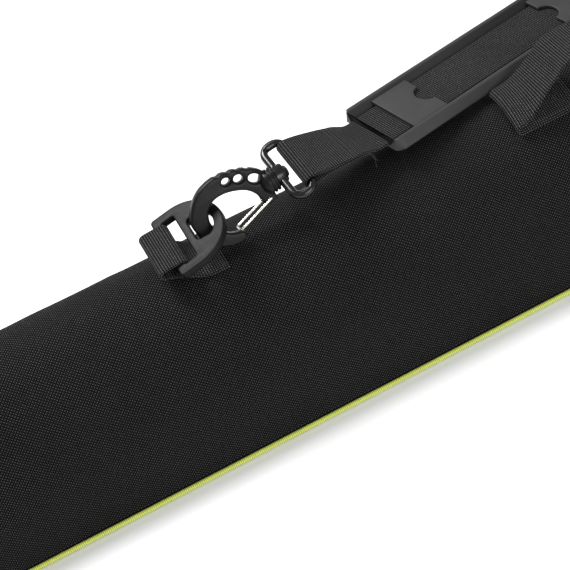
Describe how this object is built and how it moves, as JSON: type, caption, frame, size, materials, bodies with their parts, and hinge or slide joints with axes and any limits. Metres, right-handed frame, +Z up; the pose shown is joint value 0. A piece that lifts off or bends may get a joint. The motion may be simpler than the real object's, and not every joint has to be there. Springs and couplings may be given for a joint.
{
  "type": "rod case",
  "caption": "Long domed rod case: zipped lid on a flat base with piping, webbing carry handle, clip-on shoulder strap with snap hooks and sliding pad.",
  "frame": {"origin": "middle of the flat underside of the base, on the floor", "axes": "+X along the case, +Y across it towards the zip, +Z up"},
  "size_m": [1.5082, 0.2082, 0.1948],
  "materials": {
    "fabric": "coarse black polyester, matt",
    "webbing": "ribbed black webbing",
    "piping": "lime green welded piping, finely ribbed",
    "lining": "dark grey brushed lining",
    "foam": "closed-cell foam",
    "hardware": "moulded acetal, satin",
    "eye": "moulded nylon, glossy",
    "pad": "soft moulded rubber, matt",
    "zip_metal": "black enamelled zinc",
    "zip_coil": "nylon coil",
    "nickel": "nickel-plated wire"
  },
  "bodies": {
    "base": {"base_board": "fabric", "base_piping": "piping", "base_pad": "lining", "zip_tape_base": "webbing", "zip_coil_base": "zip_coil", "rod_cradle_left": "foam", "rod_cradle_centre": "foam", "rod_cradle_right": "foam", "rod_strap_left": "webbing", "rod_strap_centre": "webbing", "rod_strap_right": "webbing"},
    "lid": {"lid_shell": "fabric", "lid_lining": "lining", "zip_tape_lid": "webbing", "zip_coil_lid": "zip_coil", "handle_webbing": "webbing", "handle_grip": "pad", "anchor_tab_left": "webbing", "anchor_tab_right": "webbing", "d_ring_left": "hardware", "d_ring_right": "hardware"},
    "shoulder_strap": {"shoulder_webbing": "webbing", "swivel_stud_left": "hardware", "swivel_stud_right": "hardware", "swivel_eye_left": "eye", "swivel_eye_right": "eye"},
    "pad": {"shoulder_pad": "pad"},
    "gate_left": {"hook_gate_left": "nickel"},
    "slider_left": {"zip_slider_left": "zip_metal"},
    "pull_left": {"zip_pull_left": "zip_metal"},
    "hook_left": {"snap_hook_left": "hardware"},
    "gate_right": {"hook_gate_right": "nickel"},
    "slider_right": {"zip_slider_right": "zip_metal"},
    "pull_right": {"zip_pull_right": "zip_metal"},
    "hook_right": {"snap_hook_right": "hardware"}
  },
  "joints": [
    {"name": "lid_hinge", "type": "hinge", "parent": "base", "child": "lid", "pos_m": [0, -0.08, 0.005], "axis": [1, 0, 0], "range_deg": [0, 90]},
    {"name": "strap_swing", "type": "hinge", "parent": "lid", "child": "shoulder_strap", "pos_m": [0, -0.00766, 0.16532], "axis": [1, 0, 0], "range_deg": [0, 50]},
    {"name": "pad_slide", "type": "slide", "parent": "shoulder_strap", "child": "pad", "axis": [0.9479, 0.3006, -0.1052], "range_m": [-0.005, 0.02]},
    {"name": "hook_left_swivel", "type": "hinge", "parent": "shoulder_strap", "child": "hook_left", "pos_m": [-0.38459, -0.00781, 0.16493], "axis": [0.9903, 0.0476, 0.1308], "range_deg": [0, 10]},
    {"name": "gate_left_spring", "type": "hinge", "parent": "hook_left", "child": "gate_left", "pos_m": [-0.32653, -0.0083, 0.16358], "axis": [0, -0.9397, 0.342], "range_deg": [-24, 0], "stiffness_Nm_per_rad": 0.02, "springref_deg": 8.59},
    {"name": "slider_left_run", "type": "slide", "parent": "base", "child": "slider_left", "axis": [-1, 0, 0], "range_m": [-0.004, 0.64]},
    {"name": "pull_left_turn", "type": "hinge", "parent": "slider_left", "child": "pull_left", "pos_m": [-0.014, 0.0862, 0.0136], "axis": [0, 0, 1], "range_deg": [-100, 0]},
    {"name": "hook_right_swivel", "type": "hinge", "parent": "shoulder_strap", "child": "hook_right", "pos_m": [0.38459, -0.00781, 0.16493], "axis": [-0.9903, 0.0476, 0.1308], "range_deg": [-10, 0]},
    {"name": "gate_right_spring", "type": "hinge", "parent": "hook_right", "child": "gate_right", "pos_m": [0.32653, -0.0083, 0.16358], "axis": [0, -0.9397, 0.342], "range_deg": [0, 24], "stiffness_Nm_per_rad": 0.02, "springref_deg": -8.59},
    {"name": "slider_right_run", "type": "slide", "parent": "base", "child": "slider_right", "axis": [1, 0, 0], "range_m": [-0.004, 0.64]},
    {"name": "pull_right_turn", "type": "hinge", "parent": "slider_right", "child": "pull_right", "pos_m": [0.014, 0.0862, 0.0136], "axis": [0, 0, 1], "range_deg": [0, 100]}
  ]
}
